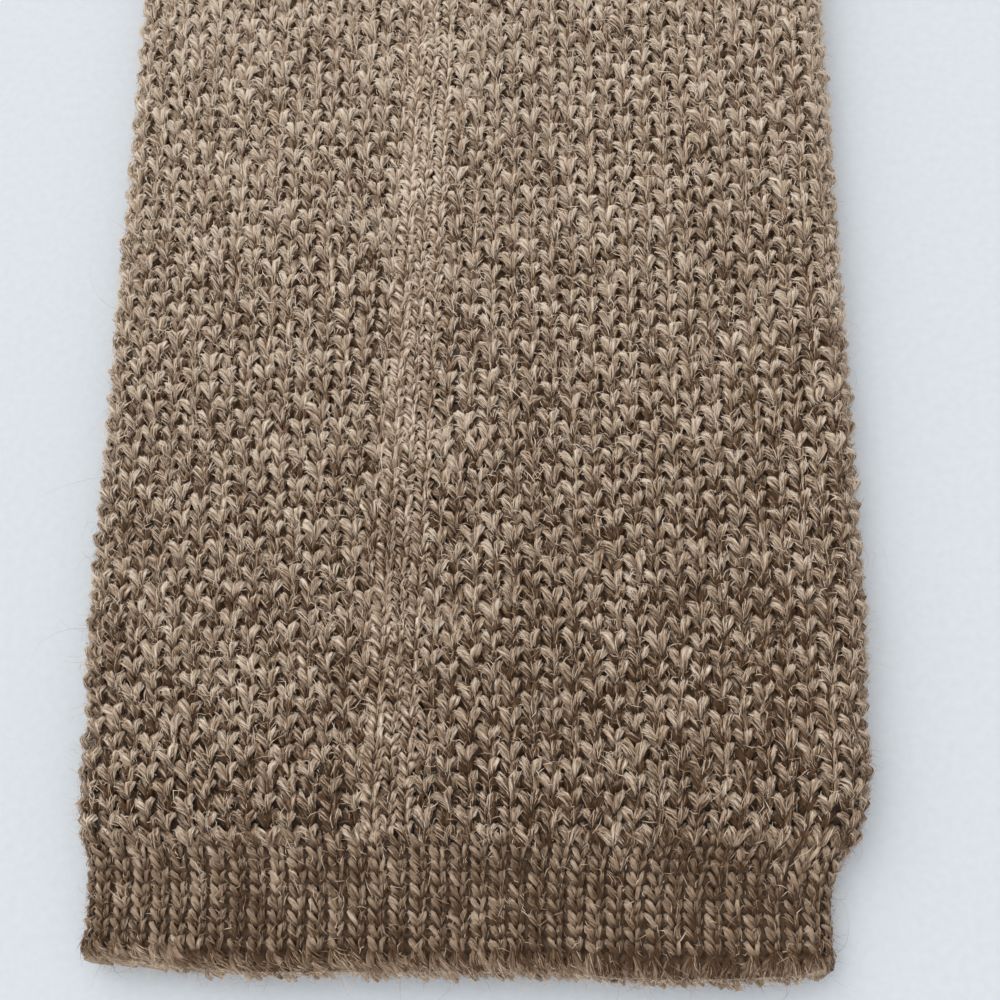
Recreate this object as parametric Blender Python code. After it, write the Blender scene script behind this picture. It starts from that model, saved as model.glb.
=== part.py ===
"""A knitted tie, laid out straight and flat with its back seam up.

Metres, +Z up. X runs across the tie and Y along it, from the front tip at -Y to the tail tip at +Y.
The underside lies on Z = 0, and the origin is in the middle of the tie's length and width.

Each blade is one knitted strip folded round a thin space, whose two edges meet the seam strip at
the centre of the back. Each end is a flat sleeve of plain knit, linked shut at the tip.
"""

import math
from collections import namedtuple
from itertools import pairwise

import bmesh
import bpy

# Lengths along the tie, from the front tip to the tail tip
FRONT_BAND_LENGTH = 0.0095
FRONT_STRAIGHT_LENGTH = 0.5000
FRONT_TAPER_LENGTH = 0.1400
NECK_LENGTH = 0.3600
TAIL_TAPER_LENGTH = 0.1000
TAIL_STRAIGHT_LENGTH = 0.3400
TAIL_BAND_LENGTH = 0.0095

# Widths across the tie
FRONT_WIDTH = 0.0650
FRONT_BAND_WIDTH = 0.0594
NECK_WIDTH = 0.0360
TAIL_WIDTH = 0.0500
TAIL_BAND_WIDTH = 0.0450
BAND_SHIFT = -0.0012

# Walls, and the space that each fold of the knit lies around
KNIT_WALL = 0.0017
BLADE_SPACE = 0.0008
BAND_WALL = 0.0012
BAND_SPACE = 0.0004
CROWN = 0.0006
SIDE_FOLD = 0.0026
BAND_SIDE_FOLD = 0.0018

# The blade draws in to its end band over this length, and the band's tip is rounded over this one
DRAW_IN_LENGTH = 0.0110
TIP_ROUNDING = 0.0014

# The seam strip up the back, which starts off the centre line and comes back to it
SEAM_WIDTH = 0.0044
SEAM_OFFSET = 0.0062
SEAM_SETTLE_LENGTH = 0.2200
SEAM_EASE = 1.5

# The gap that neighbouring pieces keep
CLEARANCE = 0.0003

# How finely the shapes are divided
FOLD_STEPS = 6
TAPER_STEPS = 5
NECK_STEPS = 4

KNIT_COLOUR = (0.235, 0.168, 0.116, 1.0)
SEAM_COLOUR = (0.262, 0.192, 0.136, 1.0)
KNIT_ROUGHNESS = 0.95

# A cross-section: left and right are its half widths, thick is its height at the sides, base is
# how far its underside stands off the surface, and fold is how far in its side folds reach
Section = namedtuple("Section", "y left right thick base fold")

# How a blade fills out from its end band. along is a share of the draw-in length, and left, right
# and thick are shares of the way from the band's size to the blade's
Filling = namedtuple("Filling", "along left right thick")
BLADE_END = (
    Filling(along=0.00, left=0.40, right=0.54, thick=0.55),
    Filling(along=0.14, left=0.60, right=0.68, thick=0.80),
    Filling(along=0.36, left=0.76, right=0.84, thick=0.95),
    Filling(along=0.62, left=0.88, right=0.96, thick=1.03),
    Filling(along=1.00, left=1.00, right=1.00, thick=1.00),
)

# How a band fills out towards its blade. along is a share of the band's length past its rounded tip
BAND_END = (
    Filling(along=0.00, left=0.02, right=0.00, thick=0.00),
    Filling(along=0.45, left=0.00, right=0.02, thick=0.00),
    Filling(along=0.72, left=0.05, right=0.14, thick=0.08),
    Filling(along=0.88, left=0.14, right=0.30, thick=0.25),
    Filling(along=1.00, left=0.34, right=0.50, thick=0.45),
)

# The tip's rounded lip. along and inset are shares of its rounding, thick is a share of the band
Lip = namedtuple("Lip", "along inset thick")
TIP_LIP = (
    Lip(along=0.00, inset=0.75, thick=0.42),
    Lip(along=0.30, inset=0.25, thick=0.78),
)

# Soft swells along a blade. along is a share of its straight length, thick of its thickness
Swell = namedtuple("Swell", "along thick")
BLADE_SWELLS = (
    Swell(along=0.07, thick=0.98),
    Swell(along=0.16, thick=1.03),
    Swell(along=0.28, thick=0.99),
    Swell(along=0.42, thick=1.02),
    Swell(along=0.58, thick=0.98),
    Swell(along=0.75, thick=1.01),
    Swell(along=1.00, thick=1.00),
)

BLADE_THICK = 2 * KNIT_WALL + BLADE_SPACE
BAND_THICK = 2 * BAND_WALL + BAND_SPACE
TIE_LENGTH = (
    FRONT_BAND_LENGTH
    + FRONT_STRAIGHT_LENGTH
    + FRONT_TAPER_LENGTH
    + NECK_LENGTH
    + TAIL_TAPER_LENGTH
    + TAIL_STRAIGHT_LENGTH
    + TAIL_BAND_LENGTH
)
FRONT_TIP = -TIE_LENGTH / 2
TAIL_TIP = TIE_LENGTH / 2
NECK_START = FRONT_TIP + FRONT_BAND_LENGTH + FRONT_STRAIGHT_LENGTH + FRONT_TAPER_LENGTH


def between(start, end, share):
    """The value that share of the way from start to end."""
    return start + (end - start) * share


def eased(share):
    """A share from 0 to 1 that starts and ends gently."""
    return share * share * (3 - 2 * share)


def crown_height(x, section):
    """How far the back stands above the sides of a section, at x."""
    half = section.left if x < 0 else section.right
    return CROWN * (1 - (x / half) ** 2)


def seam_x(y):
    """The middle of the seam strip at y."""
    left_to_settle = max(0.0, 1 - (y - FRONT_TIP) / SEAM_SETTLE_LENGTH)
    return -SEAM_OFFSET * left_to_settle**SEAM_EASE


def place(tip, distance):
    """The Y that lies that distance up the tie from a tip, whichever tip it is."""
    return tip + math.copysign(distance, -tip)


def filled_out(y, filling, blade_width, band_width, fold):
    """A section of the given share of the way from a band's size to its blade's."""
    blade_half = blade_width / 2
    band_half = band_width / 2
    return Section(
        y=y,
        left=between(band_half - BAND_SHIFT, blade_half, filling.left),
        right=between(band_half + BAND_SHIFT, blade_half, filling.right),
        thick=between(BAND_THICK, BLADE_THICK, filling.thick),
        base=0.0,
        fold=fold,
    )


def blade_sections(tip, band_length, straight_length, taper_length, blade_width, band_width):
    """A blade's sections, from its band to the neck."""
    start = band_length + CLEARANCE / 2
    sections = []
    for row in BLADE_END:
        y = place(tip, start + row.along * DRAW_IN_LENGTH)
        sections.append(filled_out(y, row, blade_width, band_width, SIDE_FOLD))
    filled = start + DRAW_IN_LENGTH
    straight_end = band_length + straight_length
    for row in BLADE_SWELLS:
        y = place(tip, between(filled, straight_end, row.along))
        half = blade_width / 2
        sections.append(Section(y, half, half, BLADE_THICK * row.thick, 0.0, SIDE_FOLD))
    taper_end = straight_end + taper_length - CLEARANCE / 2
    for step in range(1, TAPER_STEPS + 1):
        share = step / TAPER_STEPS
        y = place(tip, between(straight_end, taper_end, share))
        half = between(blade_width, NECK_WIDTH, eased(share)) / 2
        sections.append(Section(y, half, half, BLADE_THICK, 0.0, SIDE_FOLD))
    return sections


def neck_sections():
    """The neck's sections, which are all alike."""
    start = NECK_START + CLEARANCE / 2
    end = NECK_START + NECK_LENGTH - CLEARANCE / 2
    half = NECK_WIDTH / 2
    return [
        Section(between(start, end, step / NECK_STEPS), half, half, BLADE_THICK, 0.0, SIDE_FOLD)
        for step in range(NECK_STEPS + 1)
    ]


def band_sections(tip, band_length, blade_width, band_width):
    """An end band's outer sections, from its tip to its blade."""
    body = [
        filled_out(
            place(tip, between(TIP_ROUNDING, band_length - CLEARANCE / 2, row.along)),
            row,
            blade_width,
            band_width,
            BAND_SIDE_FOLD,
        )
        for row in BAND_END
    ]
    first = body[0]
    lip = [
        first._replace(
            y=place(tip, row.along * TIP_ROUNDING),
            left=first.left - row.inset * TIP_ROUNDING,
            right=first.right - row.inset * TIP_ROUNDING,
            thick=first.thick * row.thick,
            base=first.thick * (1 - row.thick) / 2,
        )
        for row in TIP_LIP
    ]
    return lip + body


def side_fold(section, side, inset):
    """The points round one side fold, from the back to the underside. side is -1 or 1."""
    half = section.left if side < 0 else section.right
    centre_x = side * (half - section.fold)
    height = section.thick - 2 * inset
    middle = section.base + section.thick / 2
    points = []
    for step in range(FOLD_STEPS + 1):
        turn = math.pi * step / FOLD_STEPS
        x = centre_x + side * (section.fold - inset) * math.sin(turn)
        z = middle + height / 2 * math.cos(turn)
        upper_share = (1 + math.cos(turn)) / 2
        points.append((x, z + upper_share * crown_height(x, section)))
    return points


def back_points(section, side, inset, start_x):
    """The points across the back, from start_x towards one side fold."""
    half = section.left if side < 0 else section.right
    end_x = side * (half - section.fold)
    points = []
    for share in (0.0, 0.4, 0.75):
        x = between(start_x, end_x, share)
        points.append((x, section.base + section.thick - inset + crown_height(x, section)))
    return points


def folded_profile(section, inset, left_edge, right_edge):
    """The knit's line round a section, from its left edge on the back round to its right edge."""
    left = back_points(section, -1, inset, left_edge) + side_fold(section, -1, inset)
    right = back_points(section, 1, inset, right_edge) + side_fold(section, 1, inset)
    return left + right[::-1]


def add_ring(mesh, y, points):
    """The points of a section as vertices."""
    return [mesh.verts.new((x, y, z)) for x, z in points]


def bridge(mesh, first, second):
    """A row of faces between two closed rings that have the same number of points."""
    count = len(first)
    for i in range(count):
        j = (i + 1) % count
        mesh.faces.new((first[i], first[j], second[j], second[i]))


def make_material(name, colour):
    """A plain matt wool material."""
    wool = bpy.data.materials.new(name)
    wool.use_nodes = True
    shader = wool.node_tree.nodes["Principled BSDF"]
    shader.inputs["Base Color"].default_value = colour
    shader.inputs["Roughness"].default_value = KNIT_ROUGHNESS
    shader.inputs["Metallic"].default_value = 0.0
    return wool


def finish_piece(name, mesh, colour):
    """Closes a bmesh off as a named object with its own material, its faces pointing out."""
    bmesh.ops.recalc_face_normals(mesh, faces=mesh.faces)
    data = bpy.data.meshes.new(name)
    mesh.to_mesh(data)
    mesh.free()
    data.shade_smooth()
    data.set_sharp_from_angle(angle=math.radians(50))
    data.materials.append(make_material(name + "_wool", colour))
    piece = bpy.data.objects.new(name, data)
    bpy.context.scene.collection.objects.link(piece)
    return piece


def make_folded_strip(name, sections):
    """A knitted strip folded round, with a slit up the back that the seam strip lies in."""
    mesh = bmesh.new()
    half_slit = SEAM_WIDTH / 2 + CLEARANCE
    rings = []
    for section in sections:
        middle = seam_x(section.y)
        outer = folded_profile(section, 0.0, middle - half_slit, middle + half_slit)
        inner = folded_profile(section, KNIT_WALL, middle - half_slit, middle + half_slit)
        rings.append(add_ring(mesh, section.y, outer + inner[::-1]))
    for first, second in pairwise(rings):
        bridge(mesh, first, second)
    for ring in (rings[0], rings[-1]):
        last = len(ring) - 1
        for i in range(len(ring) // 2 - 1):
            mesh.faces.new((ring[i], ring[i + 1], ring[last - i - 1], ring[last - i]))
    return finish_piece(name, mesh, KNIT_COLOUR)


def make_end_band(name, sections):
    """A flat sleeve of plain knit, shut at its tip and open towards its blade."""
    mesh = bmesh.new()
    outer = [add_ring(mesh, s.y, folded_profile(s, 0.0, 0.0, 0.0)[1:]) for s in sections]
    lined = sections[len(TIP_LIP) :]
    inner = [add_ring(mesh, s.y, folded_profile(s, BAND_WALL, 0.0, 0.0)[1:]) for s in lined]
    for first, second in pairwise(outer):
        bridge(mesh, first, second)
    for first, second in pairwise(inner):
        bridge(mesh, first, second)
    bridge(mesh, outer[-1], inner[-1])
    mesh.faces.new(outer[0])
    mesh.faces.new(inner[0])
    return finish_piece(name, mesh, KNIT_COLOUR)


def make_back_seam(name, sections):
    """The narrow strip of plain wales that joins the folded strips' edges up the back."""
    mesh = bmesh.new()
    half = SEAM_WIDTH / 2
    shoulder = KNIT_WALL / 4
    rings = []
    for section in sections:
        middle = seam_x(section.y)
        top = section.thick + crown_height(middle, section)
        across = (-half, -half, -half + shoulder, half - shoulder, half, half)
        down = (KNIT_WALL, shoulder, 0.0, 0.0, shoulder, KNIT_WALL)
        points = [(middle + x, top - drop) for x, drop in zip(across, down)]
        rings.append(add_ring(mesh, section.y, points))
    for first, second in pairwise(rings):
        bridge(mesh, first, second)
    mesh.faces.new(rings[0])
    mesh.faces.new(rings[-1])
    return finish_piece(name, mesh, SEAM_COLOUR)


def build_tie():
    """Every piece of the tie."""
    front = blade_sections(
        FRONT_TIP,
        FRONT_BAND_LENGTH,
        FRONT_STRAIGHT_LENGTH,
        FRONT_TAPER_LENGTH,
        FRONT_WIDTH,
        FRONT_BAND_WIDTH,
    )
    tail = blade_sections(
        TAIL_TIP,
        TAIL_BAND_LENGTH,
        TAIL_STRAIGHT_LENGTH,
        TAIL_TAPER_LENGTH,
        TAIL_WIDTH,
        TAIL_BAND_WIDTH,
    )
    neck = neck_sections()
    make_folded_strip("front_blade", front)
    make_folded_strip("neck_band", neck)
    make_folded_strip("tail_blade", tail)
    make_back_seam("back_seam", front + neck + tail[::-1])
    make_end_band(
        "front_end_band",
        band_sections(FRONT_TIP, FRONT_BAND_LENGTH, FRONT_WIDTH, FRONT_BAND_WIDTH),
    )
    make_end_band(
        "tail_end_band",
        band_sections(TAIL_TIP, TAIL_BAND_LENGTH, TAIL_WIDTH, TAIL_BAND_WIDTH),
    )


for old in list(bpy.data.objects):
    bpy.data.objects.remove(old)
build_tie()
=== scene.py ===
import math
from collections import namedtuple

import bpy
import numpy as np
from mathutils import Matrix, Vector


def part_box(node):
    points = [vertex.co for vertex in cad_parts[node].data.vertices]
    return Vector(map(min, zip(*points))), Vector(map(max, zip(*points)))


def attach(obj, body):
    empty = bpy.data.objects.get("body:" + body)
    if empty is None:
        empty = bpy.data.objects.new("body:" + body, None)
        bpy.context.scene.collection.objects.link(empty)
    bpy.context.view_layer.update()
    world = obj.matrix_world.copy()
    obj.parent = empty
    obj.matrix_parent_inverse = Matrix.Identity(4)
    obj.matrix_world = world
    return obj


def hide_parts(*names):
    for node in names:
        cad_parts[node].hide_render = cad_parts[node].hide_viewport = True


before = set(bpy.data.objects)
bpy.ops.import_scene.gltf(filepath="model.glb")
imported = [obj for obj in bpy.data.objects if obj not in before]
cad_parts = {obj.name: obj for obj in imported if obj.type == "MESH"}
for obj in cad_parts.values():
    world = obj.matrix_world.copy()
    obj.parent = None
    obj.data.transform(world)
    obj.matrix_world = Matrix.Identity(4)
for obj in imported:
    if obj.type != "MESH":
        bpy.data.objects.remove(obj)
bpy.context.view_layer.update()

MM = 0.001
FRONT_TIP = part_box("front_end_band")[0].y
TAIL_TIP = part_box("tail_end_band")[1].y
FRONT_BLADE_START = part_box("front_blade")[0].y
FRONT_BLADE_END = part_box("front_blade")[1].y
NECK_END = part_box("neck_band")[1].y
TAIL_BLADE_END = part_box("tail_blade")[1].y
SEAM_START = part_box("back_seam")[0].y
SEAM_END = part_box("back_seam")[1].y
FRONT_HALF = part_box("front_blade")[1].x

# The camera's place is given from this point, and up to CLOSE_END each stitch is modelled
PHOTO_ZERO_Y = FRONT_TIP + 0.5 * MM
CLOSE_END = FRONT_TIP + 98 * MM

# How far apart the stitches are, across and along, as counted in the photograph
WALE = 1.678 * MM
COURSE = 1.266 * MM
BAND_WALE = 1.62 * MM
BAND_COURSE = 0.97 * MM
SEAM_WALE = 1.40 * MM
SEAM_COURSE = 0.90 * MM
RAISED, SUNK = 0, 1
FOLD_WALES = 2.17                   # wales that a side fold takes up
SEAM_HALF = 1.42 * SEAM_WALE        # how far the blade's stitches keep from the seam's middle
BAND_ROWS = 9
FIRST_BAND_ROW = 2.10 * MM

# The folds and the crown of the CAD walls that the knit lies on
CROWN = 0.6 * MM
SIDE_FOLD = 2.6 * MM
BAND_SIDE_FOLD = 1.8 * MM
SAME_PLACE = 2e-6                   # points of one CAD section lie this near one another

# The blade draws in below DRAW_IN_END, with a slight waist above the end band. The tip's edge strays
# from straight, which fades out up the band
DRAW_IN_END = FRONT_TIP + 34 * MM
WAIST = 0.55 * MM
WAIST_Y = FRONT_TIP + 19.3 * MM
WAIST_REACH = 3.5 * MM
TIP_WAVE_REACH = 3 * MM

# The cloth shells: how far they lie below the surface, their walls and the steps between sections
CLOSE_INSET = 0.80 * MM
FAR_INSET = 0.55 * MM
UNDER_INSET = 0.05 * MM
WALL = 0.7 * MM
SLIT = 2.5 * MM                     # from the seam's middle to each edge of the blade's strip
BAND_INSET = 0.55 * MM
BAND_UNDER_INSET = 0.10 * MM
BAND_WALL = 0.35 * MM
BLADE_STEP = 8 * MM
LONG_STEP = 12 * MM

# Loose fibres: those on the surface, and the hairs off the edges, in number and millimetres
Hairs = namedtuple("Hairs", "count mean shape width rings")
LOOSE_FIBRES = 34000
EDGE_HAIRS = (
    Hairs(count=13000, mean=0.60, shape=1.5, width=0.024, rings=3),
    Hairs(count=110, mean=3.2, shape=2.0, width=0.020, rings=9),
)
LONGEST_HAIR = 6.0
HAIR_TOP = 8.5 * MM

NORMAL_STEP = 0.1 * MM
STRAND_SIDES = 3

rng = np.random.default_rng(11)


def read_outline():
    """The knit's sections, read off the CAD nodes: the place, half widths, top and base of each."""
    points = np.concatenate([
        np.array([v.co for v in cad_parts[name].data.vertices])
        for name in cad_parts
        if name != "back_seam"
    ])
    rows = []
    for y in np.unique(points[:, 1].round(6)):
        here = points[np.abs(points[:, 1] - y) < SAME_PLACE]
        if np.ptp(here[:, 0]) > 2 * BAND_SIDE_FOLD:
            rows.append((y, -here[:, 0].min(), here[:, 0].max(), here[:, 2].max(), here[:, 2].min()))
    return np.array(rows).T


OUTLINE = read_outline()


def read_seam():
    """The middle of the seam strip at each of its sections."""
    points = np.array([v.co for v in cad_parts["back_seam"].data.vertices])
    places = np.unique(points[:, 1].round(6))
    middles = []
    for y in places:
        x = points[np.abs(points[:, 1] - y) < SAME_PLACE][:, 0]
        middles.append((x.min() + x.max()) / 2)
    return places, np.array(middles)


SEAM_LINE = read_seam()


def seam_x(y):
    return np.interp(y, *SEAM_LINE)


def outline_at(y):
    """Left and right half widths, the top and the base at y."""
    left, right, top, base = [np.interp(y, OUTLINE[0], OUTLINE[i]) for i in (1, 2, 3, 4)]
    waist = WAIST * np.exp(-(((y - WAIST_Y) / WAIST_REACH) ** 2))
    return left - waist, right - waist, top, base


def fold_at(y):
    """How far in a side fold reaches."""
    on_band = (y < FRONT_BLADE_START) | (y > TAIL_BLADE_END)
    return np.where(on_band, BAND_SIDE_FOLD, SIDE_FOLD)


Section = namedtuple("Section", "half fold thick base flat arc")


def section_sizes(s, y):
    """The half section at y on the side that s is on; arc is the length round its fold."""
    left, right, top, base = outline_at(y)
    half = np.where(s < 0, left, right)
    fold = fold_at(y)
    thick = top - CROWN - base
    arc = math.pi * np.sqrt((fold**2 + (thick / 2) ** 2) / 2)
    return Section(half, fold, thick, base, half - fold, arc)


def surface(s, y, h):
    """Points that stand h off the knit's surface, at s round it from the middle of the back."""
    s, y, h = np.broadcast_arrays(s, y, h)
    half, fold, thick, base, flat, arc = section_sizes(s, y)
    away = np.abs(s)
    turn = np.clip((away - flat) / arc, 0, 1) * math.pi
    under = np.maximum(away - flat - arc, 0)
    x = np.minimum(away, flat) + fold * np.sin(turn) - under
    z = base + thick / 2 * (1 + np.cos(turn))
    z = z + (1 + np.cos(turn)) / 2 * CROWN * (1 - np.minimum(x / half, 1) ** 2)
    slope_x = np.sin(turn) / fold
    slope_z = np.cos(turn) / (thick / 2)
    size = np.hypot(slope_x, slope_z)
    x = x + h * slope_x / size
    z = z + h * slope_z / size
    return np.stack([np.where(s < 0, -x, x), y, z], -1)


def unit(v):
    return v / np.maximum(np.linalg.norm(v, axis=-1, keepdims=True), 1e-12)


def on_surface(s, y, h):
    """Points that stand h off the surface, and the surface's normals there."""
    points = surface(s, y, h)
    return points, unit(surface(s, y, h + NORMAL_STEP) - points)


def riding_piece(name, data, material):
    """A mesh as a named piece that rides on the tie."""
    data.shade_smooth()
    data.materials.append(material)
    piece = bpy.data.objects.new(name, data)
    bpy.context.scene.collection.objects.link(piece)
    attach(piece, "root")
    return piece


class YarnMesh:
    """Gathers tubes of yarn into one mesh, with a map round and along each and its shade."""

    def __init__(self):
        self.points, self.corners, self.totals = [], [], []
        self.yarn, self.cells, self.shades = [], [], []
        self.count = 0
        self.tubes = 0

    def add_tubes(self, centres, normals, radii, sides, shades):
        """Tubes along centres (N, R, 3), closed to a point at both ends."""
        n, rings, _ = centres.shape
        along = unit(np.gradient(centres, axis=1))
        across = unit(np.cross(along, normals))
        up = np.cross(across, along)
        angle = 2 * math.pi * np.arange(sides) / sides - math.pi / 2
        ring = (
            np.cos(angle)[None, None, :, None] * across[:, :, None]
            + np.sin(angle)[None, None, :, None] * up[:, :, None]
        )
        body = centres[:, :, None] + radii[:, :, None, None] * ring
        tips = np.stack([
            centres[:, 0] - along[:, 0] * radii[:, :1] * 0.5,
            centres[:, -1] + along[:, -1] * radii[:, -1:] * 0.5,
        ], 1)
        points = np.concatenate([body.reshape(n, -1, 3), tips], 1)
        k = np.arange(sides)
        nxt = (k + 1) % sides
        r = np.arange(rings - 1)[:, None]
        quads = np.stack([r * sides + k, r * sides + nxt, (r + 1) * sides + nxt, (r + 1) * sides + k], -1)
        first = np.stack([np.full(sides, rings * sides), nxt, k], -1)
        last_row = (rings - 1) * sides
        last = np.stack([np.full(sides, rings * sides + 1), last_row + k, last_row + nxt], -1)
        loop = np.concatenate([quads.reshape(-1), first.reshape(-1), last.reshape(-1)])
        totals = np.concatenate([np.full((rings - 1) * sides, 4), np.full(2 * sides, 3)])
        # The map: u round the tube and v along it
        v_of = np.linspace(0.06, 0.94, rings)
        u0, u1 = k / sides, (k + 1) / sides
        q_u = np.broadcast_to(np.stack([u0, u1, u1, u0], -1), (rings - 1, sides, 4))
        q_v = np.stack([v_of[:-1], v_of[:-1], v_of[1:], v_of[1:]], -1)
        q_v = np.broadcast_to(q_v[:, None], (rings - 1, sides, 4))
        mid = (u0 + u1) / 2
        a_u = np.stack([mid, u1, u0], -1)
        a_v = np.stack([np.zeros(sides), np.full(sides, v_of[0]), np.full(sides, v_of[0])], -1)
        b_u = np.stack([mid, u0, u1], -1)
        b_v = np.stack([np.ones(sides), np.full(sides, v_of[-1]), np.full(sides, v_of[-1])], -1)
        u = np.concatenate([q_u.reshape(-1), a_u.reshape(-1), b_u.reshape(-1)])
        v = np.concatenate([q_v.reshape(-1), a_v.reshape(-1), b_v.reshape(-1)])
        self.take(points, loop, totals, np.stack([u, v], -1), shades)

    def add_strands(self, centres, normals, radii, shades, plies, twist):
        """Tubes of several thin strands each, laid round one another."""
        n, rings, _ = centres.shape
        along = unit(np.gradient(centres, axis=1))
        across = unit(np.cross(along, normals))
        up = np.cross(across, along)
        v = np.linspace(-0.5, 0.5, rings)[None, :]
        start = rng.uniform(0, 2 * math.pi, n)
        thin = 0.62 if plies > 2 else 0.70
        for ply in range(plies):
            angle = (start[:, None] + 2 * math.pi * ply / plies + twist * v)[..., None]
            off = 0.50 * radii[..., None] * (np.cos(angle) * across + np.sin(angle) * up)
            off = off + rng.normal(0, 0.048 * MM, (n, rings, 3))
            shade = np.clip(shades + rng.normal(0, 0.20, n), 0, 1)
            self.add_tubes(centres + off, normals, radii * thin, STRAND_SIDES, shade)

    def add_frays(self, centres, normals, radii, per_leg, reach, width, spread, tone=0.55):
        """Fine fibres that run along the outside of each yarn and stand off it at one end."""
        legs, rings, _ = centres.shape
        pick = np.repeat(np.arange(legs), per_leg)
        n = len(pick)
        along = unit(np.gradient(centres, axis=1))
        across = unit(np.cross(along, normals))
        up = np.cross(across, along)
        t = np.linspace(0, 1, 3)[None, :]
        v0 = rng.uniform(-0.05, 0.70, n)[:, None]
        v = np.clip(v0 + rng.uniform(0.30, 0.70, n)[:, None] * t, 0, 0.999) * (rings - 1)
        low = np.floor(v).astype(int)
        part = (v - low)[..., None]
        row = pick[:, None]

        def along_leg(values):
            return values[row, low] * (1 - part) + values[row, low + 1] * part

        middle, side, top = along_leg(centres), unit(along_leg(across)), unit(along_leg(up))
        radius = along_leg(radii[..., None])[..., 0]
        turn = rng.normal(0.5 * math.pi, 0.70, n)[:, None] + 2.4 * (v / (rings - 1) - v0)
        turn = turn + rng.normal(0, 0.5, n)[:, None] * t
        out = np.cos(turn)[..., None] * side + np.sin(turn)[..., None] * top
        stand = radius * 1.10 + rng.gamma(1.5, reach / 1.5, n)[:, None] * t**2
        stray = rng.normal(0, 0.6, (n, 1, 3)) * (reach * t**2)[..., None]
        widths = rng.uniform(0.6, 1.4, n)[:, None] * width * (1.0 - 0.15 * t)
        lit = unit(out + rng.normal(0, 0.30, (n, 1, 3)))
        # Fibres that start further up a leg are lighter: painted light on the legs' upper ends
        shade = np.clip(rng.normal(tone, spread, n) + 0.45 * (v0[:, 0] - 0.30), 0, 1)
        self.add_blades(middle + stand[..., None] * out + stray, lit, widths, shade)

    def add_spindles(self, starts, middles, ends, normals, radii, shades):
        """Plain spindles, each of the two upper sides of a three-sided one."""
        along = unit(ends - starts)
        across = unit(np.cross(along, normals))
        up = np.cross(across, along)
        angle = 2 * math.pi * np.arange(3) / 3 - math.pi / 6
        ring = np.cos(angle)[None, :, None] * across[:, None] + np.sin(angle)[None, :, None] * up[:, None]
        body = middles[:, None] + radii[:, None, None] * ring
        points = np.concatenate([body, starts[:, None], ends[:, None]], 1)
        loop = np.array([3, 1, 0, 3, 2, 1, 4, 0, 1, 4, 1, 2])
        at_body = np.array([0.1, 0.5, 0.9, 0.5, 0.5])
        along_body = np.array([0.5, 0.5, 0.5, 0.0, 1.0])
        self.take(points, loop, np.full(4, 3), np.stack([at_body[loop], along_body[loop]], -1), shades)

    def add_ribbons(self, centres, normals, widths, shades):
        """Thin flat fibres along centres (N, R, 3)."""
        n, rings, _ = centres.shape
        across = unit(np.cross(unit(np.gradient(centres, axis=1)), normals))
        half = across * widths[..., None] / 2
        points = np.stack([centres - half, centres + half], 2).reshape(n, -1, 3)
        r = np.arange(rings - 1)
        loop = np.stack([2 * r, 2 * r + 1, 2 * r + 3, 2 * r + 2], -1).reshape(-1)
        v0, v1 = r / (rings - 1), (r + 1) / (rings - 1)
        v = np.stack([v0, v0, v1, v1], -1).reshape(-1)
        u = np.tile([0.0, 1.0, 1.0, 0.0], rings - 1)
        self.take(points, loop, np.full(rings - 1, 4), np.stack([u, v], -1), shades)

    def add_blades(self, centres, normals, widths, shades):
        """Thin flat fibres along centres (N, 3, 3), each ending in a point."""
        across = unit(np.cross(unit(np.gradient(centres, axis=1)), normals))
        half = across * widths[..., None] / 2
        points = np.stack([
            centres[:, 0] - half[:, 0] / 2, centres[:, 0] + half[:, 0] / 2,
            centres[:, 1] - half[:, 1], centres[:, 1] + half[:, 1], centres[:, 2],
        ], 1)
        loop = np.array([0, 1, 3, 2, 2, 3, 4])
        yarn = np.array([(0, 0), (1, 0), (1, 0.5), (0, 0.5), (0, 0.5), (1, 0.5), (0.5, 1)])
        self.take(points, loop, np.array([4, 3]), yarn, shades)

    def take(self, points, loop, totals, yarn, shades):
        """Adds the same faces for each row of points (N, P, 3)."""
        n, per, _ = points.shape
        points[..., 2] = np.maximum(points[..., 2], 0)
        starts = self.count + np.arange(n)[:, None] * per
        self.points.append(points.reshape(-1, 3))
        self.corners.append((starts + loop[None]).reshape(-1))
        self.totals.append(np.tile(totals, n))
        self.yarn.append(np.tile(yarn, (n, 1)))
        self.cells.append(np.repeat(self.tubes + np.arange(n), len(loop)))
        self.shades.append(np.repeat(shades, per))
        self.count += n * per
        self.tubes += n

    def build(self, name, material, slot):
        """The gathered tubes as one named piece that rides on the tie."""
        points = np.concatenate(self.points)
        corners = np.concatenate(self.corners)
        totals = np.concatenate(self.totals)
        data = bpy.data.meshes.new(name)
        data.vertices.add(len(points))
        data.vertices.foreach_set("co", points.astype(np.float32).ravel())
        data.loops.add(len(corners))
        data.loops.foreach_set("vertex_index", corners.astype(np.int32))
        data.polygons.add(len(totals))
        starts = np.concatenate([[0], np.cumsum(totals)[:-1]])
        data.polygons.foreach_set("loop_start", starts.astype(np.int32))
        data.update(calc_edges=True)
        yarn = np.concatenate(self.yarn)
        grid = math.ceil(math.sqrt(self.tubes))
        cell = np.concatenate(self.cells)
        place = np.stack([cell % grid, cell // grid], -1)
        data.uv_layers.new(name="yarn").uv.foreach_set("vector", yarn.astype(np.float32).ravel())
        spread = (place + 0.04 + 0.92 * yarn) / grid
        data.uv_layers.new(name="OFBake").uv.foreach_set("vector", spread.astype(np.float32).ravel())
        data.uv_layers.active = data.uv_layers["yarn"]
        shade = data.attributes.new("shade", "FLOAT", "POINT")
        shade.data.foreach_set("value", np.concatenate(self.shades).astype(np.float32))
        return riding_piece(name, data, material)


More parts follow.
